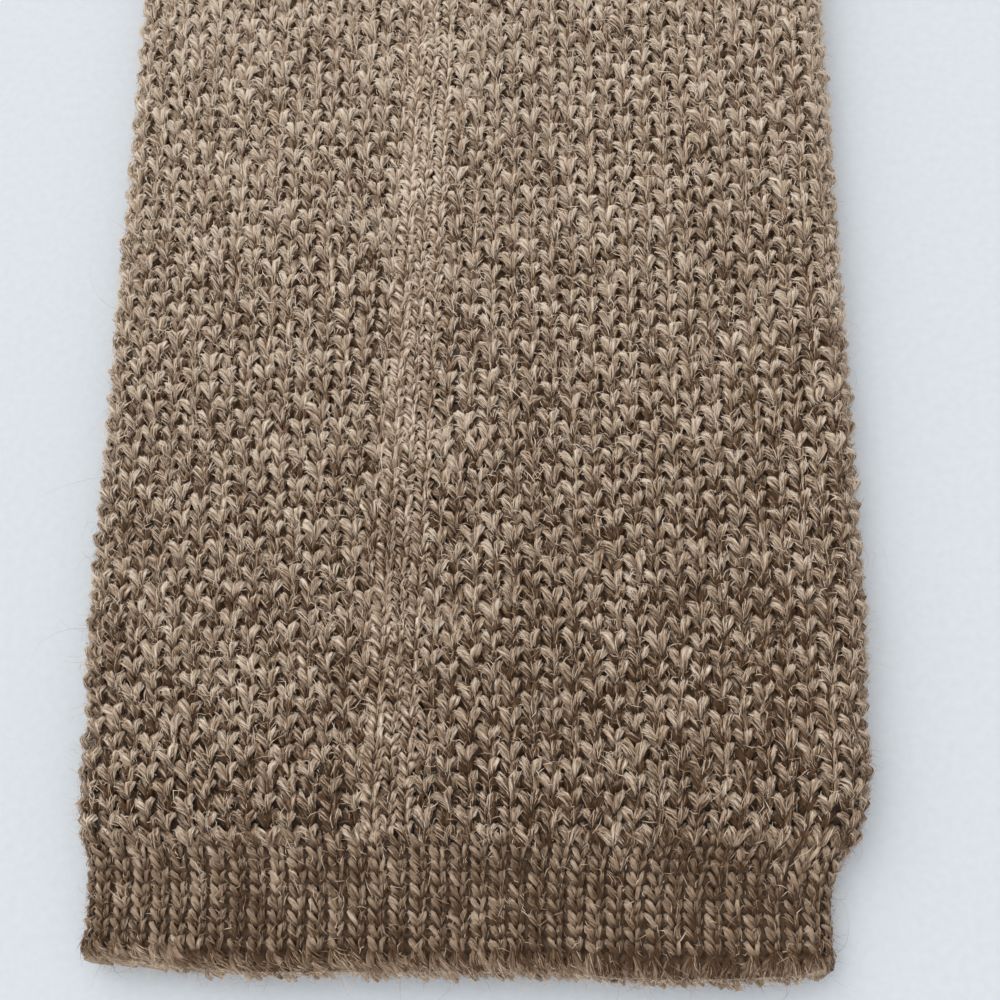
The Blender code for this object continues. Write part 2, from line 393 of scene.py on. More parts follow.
# A leg's line, from the bottom of its V to the top: x out from the V's middle, y up it, h off the
# surface and r its radius, all in millimetres
LegPoint = namedtuple("LegPoint", "x y h r")
RAISED_LEG = (
    LegPoint(x=0.06, y=-0.98, h=-0.66, r=0.20),
    LegPoint(x=0.18, y=-0.36, h=-0.28, r=0.34),
    LegPoint(x=0.44, y=0.18, h=-0.04, r=0.38),
    LegPoint(x=0.72, y=0.54, h=-0.34, r=0.28),
)
SUNK_LEG = (
    LegPoint(x=0.08, y=-0.96, h=-0.80, r=0.22),
    LegPoint(x=0.24, y=-0.36, h=-0.58, r=0.38),
    LegPoint(x=0.48, y=0.24, h=-0.56, r=0.40),
    LegPoint(x=0.74, y=0.70, h=-0.80, r=0.26),
)
PLAIN_LEG = (
    LegPoint(x=0.06, y=-0.66, h=-0.56, r=0.17),
    LegPoint(x=0.20, y=-0.26, h=-0.24, r=0.29),
    LegPoint(x=0.42, y=0.14, h=-0.16, r=0.32),
    LegPoint(x=0.64, y=0.46, h=-0.48, r=0.20),
)
BAND_LEFT_LEG = (
    LegPoint(x=-0.02, y=-0.76, h=-0.54, r=0.18),
    LegPoint(x=0.14, y=-0.26, h=-0.22, r=0.29),
    LegPoint(x=0.36, y=0.18, h=-0.17, r=0.31),
    LegPoint(x=0.58, y=0.54, h=-0.46, r=0.20),
)
BAND_RIGHT_LEG = (
    LegPoint(x=0.16, y=-0.74, h=-0.60, r=0.16),
    LegPoint(x=0.27, y=-0.26, h=-0.34, r=0.25),
    LegPoint(x=0.40, y=0.20, h=-0.31, r=0.26),
    LegPoint(x=0.50, y=0.56, h=-0.60, r=0.16),
)
FAR_LEG = (
    LegPoint(x=0.10, y=-0.95, h=-0.50, r=0.0),
    LegPoint(x=0.36, y=0.10, h=-0.12, r=0.50),
    LegPoint(x=0.68, y=0.95, h=-0.50, r=0.0),
)
# The loops that close the tip: a leg of each, and the wrap that lies round the lip below it
CLOSING_LEG = (
    LegPoint(x=0.14, y=2.06, h=-0.42, r=0.26),
    LegPoint(x=0.28, y=1.52, h=-0.20, r=0.34),
    LegPoint(x=0.42, y=0.95, h=-0.14, r=0.37),
    LegPoint(x=0.52, y=0.42, h=-0.34, r=0.30),
)
LIP_WRAP = (
    LegPoint(x=-0.70, y=0.82, h=-0.62, r=0.18),
    LegPoint(x=-0.25, y=0.56, h=-0.14, r=0.27),
    LegPoint(x=0.22, y=0.32, h=-0.12, r=0.28),
    LegPoint(x=0.66, y=0.20, h=-0.50, r=0.20),
)

def drawn_in(s, y):
    """s moved in by as much as the blade is narrower at y than where it is straight."""
    left, right, _, _ = outline_at(y)
    share = np.where(s < 0, left, right) / FRONT_HALF
    return np.where(y < DRAW_IN_END, s * share, s)


def leg_lines(s0, y0, side, points, tilt=0.0, size=1.0, lift=0.0):
    """The centre lines, normals and radii of one leg of each V whose middle is at s0, y0."""
    path = np.array(points) * MM
    n = len(s0)
    size = np.broadcast_to(size, n)[:, None]
    tilt = np.broadcast_to(tilt, n)[:, None]
    lift = np.broadcast_to(lift, n)[:, None]
    x = side * path[None, :, 0] * size
    y = path[None, :, 1] * size
    y_at = y0[:, None] + y * np.cos(tilt) + x * np.sin(tilt)
    s_at = drawn_in(s0[:, None] + x * np.cos(tilt) - y * np.sin(tilt), y_at)
    centres, normals = on_surface(s_at, y_at, path[None, :, 2] + lift)
    return centres, normals, path[None, :, 3] * size


def tuck_lattice(y_low, y_high, side):
    """The middles of the Vs on one side of the seam: s, y and whether each is RAISED or SUNK."""
    y_first = math.ceil((y_low - FRONT_TIP) / COURSE)
    y_last = math.floor((y_high - FRONT_TIP) / COURSE)
    full = FRONT_HALF - SIDE_FOLD + WALE * FOLD_WALES
    found = []
    for course in range(y_first, y_last + 1):
        y = FRONT_TIP + course * COURSE
        inner = side * seam_x(y) + SEAM_HALF
        count = round((full - inner) / WALE)
        spare = (full - inner) - count * WALE
        i = np.arange(-2, count)
        # What is left over of a wale is taken up next to the seam
        s = full - (i + 0.5) * WALE - spare * np.exp(-0.40 * (count - 1 - i))
        section = section_sizes(np.full(len(s), float(side)), np.full(len(s), y))
        on_top = s < section.flat + 0.80 * section.arc
        found.append(np.stack([side * s, np.full(len(s), y), (i + course) % 2], -1)[on_top])
    return np.concatenate(found)


def shades_for(count, spread=0.14):
    return np.clip(rng.normal(0.5, spread, count), 0, 1)


def wander(s, y):
    """Slow, even drifts of the rows, so that they aren't ruled."""
    return 0.22 * MM * (np.sin(s / 9e-3 + 1.3) * np.cos(y / 14e-3) + 0.6 * np.sin(y / 5.5e-3 + s / 21e-3))


def close_knit(side, frays):
    """The raised and the sunk Vs of the stretch that the photograph shows, on one side of the seam."""
    raised, sunk = YarnMesh(), YarnMesh()
    lattice = tuck_lattice(FRONT_BLADE_START + 0.3 * MM, CLOSE_END, side)
    # The last number lightens the raised Vs and darkens the sunk ones, in their yarn and their fibres: painted
    # light and painted shade, as the sunk Vs lie deeper
    for mesh, kind, leg, plies, per_leg, bias in (
        (raised, RAISED, RAISED_LEG, 3, 12, 0.16),
        (sunk, SUNK, SUNK_LEG, 2, 4, -0.26),
    ):
        here = lattice[lattice[:, 2] == kind]
        n = len(here)
        s0 = here[:, 0] + rng.normal(0, 0.06 * MM, n)
        y0 = here[:, 1] + wander(here[:, 0], here[:, 1]) + rng.normal(0, 0.07 * MM, n)
        tilt = rng.normal(0.0, 0.07, n)
        size = rng.normal(1.0, 0.06, n)
        lift = rng.normal(0, 0.05 * MM, n)
        shade = np.clip(shades_for(n) + bias, 0, 1)
        for leg_side in (-1, 1):
            lines = leg_lines(
                s0, y0, leg_side, leg, tilt + rng.normal(0, 0.07, n),
                size * rng.normal(1.0, 0.05, n), lift + rng.normal(0, 0.05 * MM, n),
            )
            mesh.add_strands(*lines, shade, plies=plies, twist=3.0)
            frays.add_frays(
                *lines, per_leg=per_leg, reach=0.13 * MM, width=0.072 * MM, spread=0.22, tone=0.56 + bias,
            )
    return raised, sunk


def add_far_legs(mesh, s, y, size=1.0, lighter=0.10):
    """Both legs of each V at s, y, each a plain spindle."""
    n = len(s)
    for leg_side in (-1, 1):
        centres, normals, radii = leg_lines(s, y, leg_side, FAR_LEG, rng.normal(0, 0.06, n), size)
        shade = shades_for(n) + lighter
        mesh.add_spindles(*centres.transpose(1, 0, 2), normals[:, 1], radii[:, 1], shade)


def far_knit(y_low, y_high):
    """The raised Vs of a stretch that the photograph doesn't show."""
    mesh = YarnMesh()
    for side in (-1, 1):
        lattice = tuck_lattice(y_low, y_high, side)
        here = lattice[lattice[:, 2] == RAISED]
        n = len(here)
        s0 = here[:, 0] + rng.normal(0, 0.05 * MM, n)
        y0 = here[:, 1] + rng.normal(0, 0.06 * MM, n)
        add_far_legs(mesh, s0, y0)
    return mesh


def tip_wave(x):
    """How far the front tip's edge strays from straight."""
    places = np.array([-32, -29.5, -25, -21, -17, -9, -1, 7, 14.6, 22, 25.8, 28.2, 30]) * MM
    strays = np.array([1.0, 0.5, 0.1, -0.3, -0.5, -0.4, -0.3, -0.2, -0.75, -0.5, -0.25, 0.3, 1.3]) * MM
    return np.interp(x, places, strays)


def band_wales():
    """The middles of the front end band's wales, as s where the blade is straight."""
    share = outline_at(FRONT_TIP + 5 * MM)[0] / FRONT_HALF
    pitch = BAND_WALE / share
    count = math.floor((FRONT_HALF + 1.6 * MM) / pitch - 0.5)
    return np.arange(-count, count + 1) * pitch


def band_knit(frays):
    """The plain Vs of the front end band, row on row up to the blade."""
    mesh = YarnMesh()
    wales = band_wales()
    n = len(wales)
    for row in range(BAND_ROWS):
        distance = FIRST_BAND_ROW + row * BAND_COURSE
        s0 = wales + rng.normal(0, 0.04 * MM, n)
        wave = tip_wave(drawn_in(wales, FRONT_TIP)) * math.exp(-distance / TIP_WAVE_REACH)
        y0 = FRONT_TIP + distance + wave + rng.normal(0, 0.05 * MM, n)
        shade = shades_for(n) - 0.04
        size = rng.normal(1.0, 0.05, n)
        for leg_side, leg, lean, bias in (
            (-1, BAND_LEFT_LEG, 0.10, 0.08),
            (1, BAND_RIGHT_LEG, 0.04, -0.08),
        ):
            lines = leg_lines(s0, y0, leg_side, leg, lean + rng.normal(0, 0.05, n), size)
            mesh.add_strands(*lines, np.clip(shade + bias, 0, 1), plies=2, twist=2.2)
            frays.add_frays(*lines, per_leg=5, reach=0.10 * MM, width=0.070 * MM, spread=0.09, tone=0.47)
    return mesh


def closing_knit(frays):
    """The chunky loops that close the front tip, and the cord that they make round its lip."""
    loops, wraps = YarnMesh(), YarnMesh()
    wales = band_wales()
    n = len(wales)
    s0 = wales + rng.normal(0, 0.10 * MM, n)
    y0 = FRONT_TIP + tip_wave(drawn_in(s0, FRONT_TIP)) + rng.normal(0, 0.12 * MM, n)
    shade = shades_for(n)
    for leg_side, lean in ((-1, 0.05), (1, 0.12)):
        lines = leg_lines(
            s0, y0, leg_side, CLOSING_LEG, lean + rng.normal(0, 0.07, n), rng.normal(1.0, 0.06, n),
            rng.normal(-0.04, 0.06, n) * MM,
        )
        loops.add_strands(*lines, shade, plies=3, twist=2.4)
        frays.add_frays(*lines, per_leg=14, reach=0.16 * MM, width=0.070 * MM, spread=0.14)
    for offset, up in ((0.0, 0.0), (0.5, 0.0), (0.25, 0.40 * MM), (0.75, 0.40 * MM)):
        lines = leg_lines(
            s0 + offset * BAND_WALE, y0 + up, 1, LIP_WRAP, rng.normal(-0.55, 0.14, n),
            rng.normal(1.0, 0.07, n), rng.normal(0, 0.06, n) * MM,
        )
        wraps.add_strands(*lines, np.clip(shade + 0.16 - 0.3 * up / MM, 0, 1), plies=2, twist=2.4)
        frays.add_frays(*lines, per_leg=10, reach=0.16 * MM, width=0.055 * MM, spread=0.15, tone=0.62)
    return loops, wraps


def seam_rows(y_low, y_high):
    return np.arange(math.ceil(y_low / SEAM_COURSE), math.floor(y_high / SEAM_COURSE)) * SEAM_COURSE


def seam_knit(y_low, y_high, frays):
    """The three plain wales up the middle of the back."""
    mesh = YarnMesh()
    y = seam_rows(y_low, y_high)
    n = len(y)
    for wale, width in ((-1, 1.22), (0, 1.0), (1, 1.06)):
        s0 = seam_x(y) + wale * SEAM_WALE + rng.normal(0, 0.04 * MM, n)
        y0 = y + 0.31 * MM * wale + rng.normal(0, 0.06 * MM, n)
        shade = np.clip(shades_for(n) + 0.16, 0, 1)
        for leg_side in (-1, 1):
            lines = leg_lines(s0, y0, leg_side, PLAIN_LEG, rng.normal(0, 0.06, n), width, 0.06 * MM)
            mesh.add_strands(*lines, shade, plies=2, twist=2.2)
            frays.add_frays(*lines, per_leg=5, reach=0.14 * MM, width=0.080 * MM, spread=0.28)
    return mesh


def far_seam(y_low, y_high):
    """The seam's three wales past the stretch that the photograph shows."""
    mesh = YarnMesh()
    y = seam_rows(y_low, y_high)
    for wale in (-1, 0, 1):
        add_far_legs(mesh, seam_x(y) + wale * SEAM_WALE, y, size=0.75)
    return mesh


def far_band():
    """The plain Vs of the tail's end band."""
    mesh = YarnMesh()
    half = outline_at(TAIL_TIP - 5 * MM)[0]
    count = math.floor(half / BAND_WALE)
    s = np.arange(-count, count + 1) * BAND_WALE
    for row in range(BAND_ROWS):
        y = np.full(len(s), TAIL_TIP - 0.9 * MM - row * BAND_COURSE)
        add_far_legs(mesh, s, y, size=0.8, lighter=0.0)
    return mesh


def surface_fibres():
    """Short loose fibres that lie over the stitches, most of them along the yarn."""
    mesh = YarnMesh()
    count = LOOSE_FIBRES
    y = FRONT_TIP + 0.5 * MM + (CLOSE_END - FRONT_TIP) * rng.random(count) ** 0.8
    s = rng.uniform(-1.08, 1.08, count) * FRONT_HALF
    length = rng.gamma(3.5, 0.20, count) * MM
    heading = rng.normal(0.5 * math.pi, 0.85, count) + 0.30
    curl = rng.normal(0, 1.3, count)
    v = np.linspace(0, 1, 3)[None, :]
    turn = heading[:, None] + curl[:, None] * (v - 0.5)
    step = length[:, None] / 2
    s_at = s[:, None] + np.cumsum(np.cos(turn) * step, 1)
    y_at = np.maximum(y[:, None] + np.cumsum(np.sin(turn) * step, 1), FRONT_TIP)
    lift = rng.uniform(0.02, 0.26, count) * MM
    h_at = rng.uniform(-0.42, 0.14, count)[:, None] * MM + lift[:, None] * np.sin(math.pi * v)
    centres, normals = on_surface(drawn_in(s_at, y_at), y_at, h_at)
    normals = unit(normals + rng.normal(0, 0.25, (count, 1, 3)))
    width = np.broadcast_to(rng.uniform(0.035, 0.080, count)[:, None] * MM, (count, 3))
    spread = np.where(y < FRONT_BLADE_START, 0.12, 0.24)
    # Fibres that lie lower are darker: painted shade in the recesses between the stitches
    shade = 0.48 + spread * rng.normal(0, 1, count) + 0.9 * (h_at[:, 1] + 0.1 * MM) / MM
    mesh.add_blades(centres, normals, width, np.clip(shade, 0, 1))
    return mesh


def edge_fibres():
    """The fuzz that stands off the sides and the tip, and a few long stray hairs."""
    mesh = YarnMesh()
    left, right = (outline_at(FRONT_TIP + 1 * MM)[i] - 0.7 * MM for i in (0, 1))
    for count, mean, shape, width_mm, rings in EDGE_HAIRS:
        side = rng.choice([-1.0, 1.0], count)
        at_tip = (rng.random(count) < 0.34)[:, None]
        y = rng.uniform(FRONT_TIP + 1.0 * MM, CLOSE_END, count)
        s = drawn_in(side * (FRONT_HALF + rng.normal(0.4, 1.0, count) * MM), y)
        base = surface(s, y, -0.15 * MM)
        out = unit(surface(s, y, 0.3 * MM) - base)
        out[:, 2] *= 0.6
        x_tip = rng.uniform(-left, right, count)
        y_tip = FRONT_TIP + tip_wave(x_tip) + 0.30 * MM
        tip_base = np.stack([x_tip, y_tip, rng.uniform(1.2, 3.4, count) * MM], -1)
        tip_out = np.stack([rng.normal(0, 0.4, count), np.full(count, -1.0), rng.normal(0.05, 0.3, count)], -1)
        base = np.where(at_tip, tip_base, base)
        out = unit(np.where(at_tip, tip_out, out))
        tangent = np.where(at_tip, [1.0, 0.0, 0.0], [0.0, 1.0, 0.0])
        length = np.minimum(rng.gamma(shape, mean / shape, count), LONGEST_HAIR)[:, None, None] * MM
        v = np.linspace(0, 1, rings)[None, :, None]
        start = rng.normal(0, 0.7, count)[:, None, None]
        curl = rng.normal(0, 1.6, count)[:, None, None]
        angle = start + curl * v
        rise = rng.normal(0.0, 0.35, count)[:, None, None]
        course = np.cos(angle) * out[:, None] + np.sin(angle) * tangent[:, None]
        centres = base[:, None] + length * v * course
        centres[..., 2] += (length * rise * v)[..., 0]
        centres[..., 2] = np.clip(centres[..., 2], 0.10 * MM, HAIR_TOP)
        up = np.tile(np.array([0.0, 0.0, 1.0]), (count, rings, 1)) + rng.normal(0, 0.3, (count, 1, 3))
        width = np.broadcast_to(width_mm * MM * (1.15 - v[..., 0]), (count, rings))
        add = mesh.add_blades if rings == 3 else mesh.add_ribbons
        # The hairs are paler than the wool: partly its pale fibres, partly painted light for the glow of light
        # through the fuzz round the edges
        add(centres, unit(up), width, np.clip(rng.normal(0.86, 0.3, count), 0, 1.4))
    return mesh


DARK_FIBRE = (0.095, 0.048, 0.022)
MID_FIBRE = (0.395, 0.274, 0.182)
LIGHT_FIBRE = (0.675, 0.532, 0.400)
PALE_FIBRE = (0.840, 0.718, 0.575)

# Colours of the knit between and beyond the modelled stitches, dark and light; those between the stitches are
# darkened, painted shade in the gaps
SHADED_GAP_GROUND = ((0.075, 0.038, 0.018), (0.210, 0.135, 0.082))
SHADED_BAND_GAP_GROUND = ((0.060, 0.031, 0.015), (0.150, 0.095, 0.058))
FAR_GROUND = ((0.190, 0.118, 0.070), (0.560, 0.425, 0.315))
GROUND_FADE = 10 * MM
# How far up the blade the painted light falloff runs
PAINTED_FALLOFF_LENGTH = 0.09

# The same dull, faintly furry surface for all the yarn, a duller one between it, and the floor's
WOOL = {
    "Roughness": 0.92, "Specular IOR Level": 0.15, "Sheen Weight": 0.22, "Sheen Roughness": 0.45,
    "Sheen Tint": (0.95, 0.84, 0.72, 1.0),
}
GROUND = {"Roughness": 0.95, "Specular IOR Level": 0.12, "Sheen Weight": 0.25, "Sheen Roughness": 0.5}
FLOOR = {"Roughness": 0.75, "Specular IOR Level": 0.2}


class Graph:
    """A new material and short ways to add nodes to it, each of which gives the node's output."""

    def __init__(self, name, settings):
        self.material = bpy.data.materials.new(name)
        self.material.use_nodes = True
        self.nodes = self.material.node_tree.nodes
        self.shader = self.nodes["Principled BSDF"]
        for key, value in settings.items():
            self.shader.inputs[key].default_value = value
        coordinates = self.nodes.new("ShaderNodeTexCoord")
        self.place, self.normal = coordinates.outputs["Object"], coordinates.outputs["Normal"]

    def feed(self, value, socket):
        """Sets an input to a number, or links an output to it."""
        if isinstance(value, (int, float)):
            socket.default_value = value
        else:
            self.material.node_tree.links.new(value, socket)

    def math(self, kind, *values, clamp=False):
        node = self.nodes.new("ShaderNodeMath")
        node.operation = kind
        node.use_clamp = clamp
        for value, socket in zip(values, node.inputs):
            self.feed(value, socket)
        return node.outputs[0]

    def scaled(self, value, by, plus, clamp=False):
        return self.math("MULTIPLY_ADD", value, by, plus, clamp=clamp)

    def split(self, vector):
        node = self.nodes.new("ShaderNodeSeparateXYZ")
        self.feed(vector, node.inputs[0])
        return list(node.outputs)

    def attribute(self, name):
        node = self.nodes.new("ShaderNodeAttribute")
        node.attribute_name = name
        return node.outputs["Fac"]

    def noise(self, place, **settings):
        node = self.nodes.new("ShaderNodeTexNoise")
        for key, value in settings.items():
            node.inputs[key].default_value = value
        self.feed(place, node.inputs["Vector"])
        return node.outputs["Fac"]

    def ramp(self, factor, *stops):
        node = self.nodes.new("ShaderNodeValToRGB")
        elements = node.color_ramp.elements
        while len(elements) < len(stops):
            elements.new(0.5)
        for element, (place, colour) in zip(elements, stops):
            element.position = place
            element.color = (*colour, 1.0)
        self.feed(factor, node.inputs["Fac"])
        return node.outputs["Color"]

    def finish(self, colour, height=None, strength=1.0, distance=0.0):
        """Gives the shader its colour and, where there is a height, its bump."""
        self.feed(colour, self.shader.inputs["Base Color"])
        if height is not None:
            bump = self.nodes.new("ShaderNodeBump")
            self.feed(strength, bump.inputs["Strength"])
            self.feed(distance, bump.inputs["Distance"])
            self.feed(height, bump.inputs["Height"])
            self.feed(bump.outputs["Normal"], self.shader.inputs["Normal"])
        return self.material


def patches_and_painted_falloff(graph):
    """The wool's slow patches, and painted light that falls off from the lighter upper blade and its left side
    to the duller end band at the tip and to the right.
    """
    x, y, _ = graph.split(graph.place)
    up = graph.scaled(y, 1 / PAINTED_FALLOFF_LENGTH, -FRONT_TIP / PAINTED_FALLOFF_LENGTH, clamp=True)
    # Painted light: lighter up the blade and to the left, darker toward the tip and to the right
    painted_falloff = graph.scaled(x, -1.4, graph.scaled(up, 0.43, -0.31))
    patches = graph.scaled(graph.noise(graph.place, Scale=260.0, Detail=2.0), 0.75, -0.375)
    return graph.math("ADD", painted_falloff, patches)


def yarn_material(name, contrast):
    """Marled wool: fine streaks that run along each strand, over slow patches of lighter wool, with painted
    light along each strand and over the tie.
    """
    graph = Graph(name, WOOL)
    uv = graph.nodes.new("ShaderNodeUVMap")
    uv.uv_map = "yarn"
    around, along, _ = graph.split(uv.outputs["UV"])
    tone = graph.attribute("shade")
    twisted = graph.scaled(along, -0.25, around)
    place = graph.nodes.new("ShaderNodeCombineXYZ")
    for value, stretch, socket in zip((twisted, along, tone), (6.5, 1.8, 173.0), place.inputs):
        graph.feed(graph.math("MULTIPLY", value, stretch), socket)
    streak = graph.noise(place.outputs[0], Scale=1.0, Detail=2.5, Roughness=0.6)
    value = graph.scaled(streak, contrast, 0.45 - contrast / 2)
    value = graph.math("ADD", value, graph.scaled(tone, 0.55, -0.275))
    # Painted light: each strand is lighter along its length, toward the upper end of most legs, where the
    # light catches them
    value = graph.math("ADD", value, graph.scaled(along, 0.64, -0.30))
    # Slow patches, and the painted light falloff over the tie
    value = graph.math("ADD", value, patches_and_painted_falloff(graph), clamp=True)
    colour = graph.ramp(
        value, (0.02, DARK_FIBRE), (0.40, MID_FIBRE), (0.78, LIGHT_FIBRE), (1.00, PALE_FIBRE),
    )
    return graph.finish(colour, streak, 1.0, 0.12 * MM)


def fibre_material(name):
    """Single loose fibres, from dark brown to pale."""
    graph = Graph(name, WOOL)
    value = graph.scaled(graph.noise(graph.place, Scale=900.0), 0.5, -0.25)
    # Slow patches, and the painted light falloff over the tie
    value = graph.math("ADD", value, patches_and_painted_falloff(graph))
    value = graph.math("ADD", value, graph.attribute("shade"), clamp=True)
    return graph.finish(graph.ramp(
        value, (0.05, DARK_FIBRE), (0.35, MID_FIBRE), (0.65, LIGHT_FIBRE), (1.00, PALE_FIBRE),
    ))


def ground_material(name, near, wale, course):
    """The knit below and between the modelled stitches: rows of small Vs in bump, and in colour as painted
    shade, darker in their low parts.

    Its colours go from near, darkened as painted shade in the gaps between the stitches, to FAR_GROUND just
    before CLOSE_END and wherever the cloth faces down.
    """
    graph = Graph(name, GROUND)
    x, y, _ = graph.split(graph.place)
    column = graph.math("PINGPONG", graph.math("MULTIPLY", x, 1 / wale), 0.5)
    rows = graph.scaled(y, 1 / course, graph.math("MULTIPLY", column, 1.1))
    row_wave = graph.math("SINE", graph.math("MULTIPLY", rows, 2 * math.pi))
    column_wave = graph.math("COSINE", graph.math("MULTIPLY", column, 4 * math.pi))
    relief = graph.scaled(column_wave, -0.2, graph.scaled(row_wave, 0.3, 0.5))
    fibres = graph.noise(graph.place, Scale=2600.0, Detail=3.0)
    value = graph.math("ADD", graph.scaled(fibres, 1.1, -0.55), relief, clamp=True)
    beyond = graph.scaled(y, 1 / GROUND_FADE, 1 - CLOSE_END / GROUND_FADE, clamp=True)
    below = graph.scaled(graph.split(graph.normal)[2], -4.0, -1.0, clamp=True)
    mix = graph.nodes.new("ShaderNodeMixRGB")
    graph.feed(graph.math("MAXIMUM", beyond, below), mix.inputs[0])
    for (dark, light), socket in ((near, mix.inputs[1]), (FAR_GROUND, mix.inputs[2])):
        graph.feed(graph.ramp(value, (0.1, dark), (0.85, light)), socket)
    return graph.finish(mix.outputs[0], value, 0.8, 0.35 * MM)


def floor_material():
    """A pale, faintly cool surface with the finest of grain."""
    graph = Graph("pale_floor", FLOOR)
    grain = graph.noise(graph.place, Scale=1400.0, Detail=4.0)
    colour = graph.ramp(grain, (0.3, (0.680, 0.717, 0.752)), (0.7, (0.715, 0.753, 0.788)))
    return graph.finish(colour, grain, 0.15, 0.05 * MM)


def ring_faces(first, last, per):
    """Quads between neighbouring rings from first to last, each a closed line of per points."""
    r = np.arange(first, last)[:, None]
    k = np.arange(per)
    nxt = (k + 1) % per
    quads = np.stack([r * per + k, (r + 1) * per + k, (r + 1) * per + nxt, r * per + nxt], -1)
    return quads.reshape(-1, 4).tolist()


def cloth_piece(name, rings, faces, node, material):
    """A shell of cloth that takes the place of a CAD node."""
    data = bpy.data.meshes.new(name)
    data.from_pydata(np.concatenate(rings).tolist(), [], faces)
    data.update()
    piece = riding_piece(name, data, material)
    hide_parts(node)
    return piece


def folded_piece(name, rings, node, material):
    """A folded strip's shell, its wall closed at both ends."""
    count, per = len(rings), len(rings[0])
    faces = ring_faces(0, count - 1, per)
    for start, flip in ((0, False), ((count - 1) * per, True)):
        for i in range(per // 2 - 1):
            face = [start + i, start + i + 1, start + per - 2 - i, start + per - 1 - i]
            faces.append(face[::-1] if flip else face)
    return cloth_piece(name, rings, faces, node, material)


def sizes_at(side, y):
    """The section's sizes at y on one side, as plain numbers."""
    sizes = section_sizes(np.full(1, float(side)), np.full(1, y))
    return Section(*(float(np.ravel(v)[0]) for v in sizes))


def wall_lines(y, inset):
    """The outer and inner lines of a folded blade at y, from one side of the seam round to the other."""
    lines = []
    for depth in (0.0, WALL):
        halves = []
        for side in (-1, 1):
            at = sizes_at(side, y)
            start = side * float(seam_x(y)) + SLIT
            s = np.concatenate([
                np.linspace(start, at.flat, 12),
                at.flat + at.arc * np.linspace(0.08, 1.0, 12),
                at.flat + at.arc + np.linspace(0.0, at.flat, 9)[1:-1],
            ])
            share = np.clip((s - at.flat) / at.arc, 0, 1)
            skin = inset + (UNDER_INSET - inset) * share
            halves.append(surface(side * s, y, -(skin + depth)))
        lines.append(np.concatenate([halves[0], halves[1][::-1]]))
    return lines


def folded_blade(name, node, material, y_low, y_high, step, inset):
    """A blade's cloth: one wall folded round at both sides, its edges at the seam strip."""
    count = max(3, math.ceil((y_high - y_low) / step) + 1)
    rings = []
    for y in np.linspace(y_low, y_high, count):
        outer, inner = wall_lines(y, inset)
        rings.append(np.concatenate([outer, inner[::-1]]))
    return folded_piece(name, rings, node, material)


def sleeve_line(y, depth):
    """The closed line of an end band's wall at y, from its left side over the top and back below."""
    halves = []
    for side in (-1, 1):
        at = sizes_at(side, y)
        s = np.concatenate([np.linspace(0, at.flat, 12), at.flat + at.arc * np.linspace(0.1, 0.5, 5)])
        halves.append(surface(side * s, y, -(BAND_INSET + depth))[::side])
    line = np.concatenate([halves[0], halves[1][1:]])
    under = line.copy()
    _, _, top, base = outline_at(y)
    middle = (top - CROWN + base) / 2
    under[:, 2] = np.maximum(2 * middle - under[:, 2] + CROWN, base + BAND_UNDER_INSET + depth)
    return np.concatenate([line, under[::-1][1:-1]])


def end_band(name, node, material, y_open, y_tip):
    """A band's cloth: a sleeve that is open to the blade and closed at the tip."""
    inward = 1 if y_tip < y_open else -1
    places = np.concatenate([
        np.linspace(y_open, y_tip + inward * 1.6 * MM, 6),
        y_tip + inward * np.array([1.1, 0.75, 0.45]) * MM,
    ])
    inner_places = np.linspace(y_tip + inward * 2.2 * MM, y_open, 5)
    rings = [sleeve_line(y, 0.0) for y in places]
    rings += [sleeve_line(y, BAND_WALL) for y in inner_places]
    if y_tip == FRONT_TIP:
        for ring in rings:
            near = np.exp(-(ring[:, 1] - y_tip) / TIP_WAVE_REACH)
            ring[:, 1] += near * tip_wave(ring[:, 0])
    outer, total, per = len(places), len(rings), len(rings[0])
    faces = ring_faces(0, outer - 1, per) + ring_faces(outer, total - 1, per)
    k = np.arange(per)
    nxt = (k + 1) % per
    faces += np.stack([(total - 1) * per + k, k, nxt, (total - 1) * per + nxt], -1).tolist()
    for start, flip in (((outer - 1) * per, True), (outer * per, False)):
        for i in range(per // 2):
            a, b = start + i, start + i + 1
            c, d = start + (per - i - 1) % per, start + (per - i) % per
            face = [a, b, c, d] if i else [a, b, c]
            if i == per // 2 - 1:
                face = [a, b, d]
            faces.append(face[::-1] if flip else face)
    if inward < 0:
        faces = [face[::-1] for face in faces]
    return cloth_piece(name, rings, faces, node, material)


def seam_strip(name, node, material):
    """The strip between the blade's edges, with both of its own edges turned in under it."""
    line = np.array([
        (-0.05, -1.50), (-2.00, -1.50), (-2.24, -1.30), (-2.24, -0.82), (-2.00, -0.62), (0.0, -0.58),
        (2.00, -0.62), (2.24, -0.82), (2.24, -1.30), (2.00, -1.50), (0.05, -1.50),
        (0.05, -1.20), (1.80, -1.20), (1.96, -1.10), (1.96, -0.98), (1.80, -0.90), (0.0, -0.88),
        (-1.80, -0.90), (-1.96, -0.98), (-1.96, -1.10), (-1.80, -1.20), (-0.05, -1.20),
    ]) * MM
    places = np.linspace(SEAM_START, SEAM_END, math.ceil((SEAM_END - SEAM_START) / LONG_STEP))
    rings = [surface(float(seam_x(y)) + line[:, 0], y, line[:, 1]) for y in places]
    return folded_piece(name, rings, node, material)


def add_floor():
    bpy.ops.mesh.primitive_plane_add(size=60.0, location=(0, 0, -0.15 * MM))
    floor = bpy.context.object
    floor.name = "floor"
    floor.data.materials.append(floor_material())


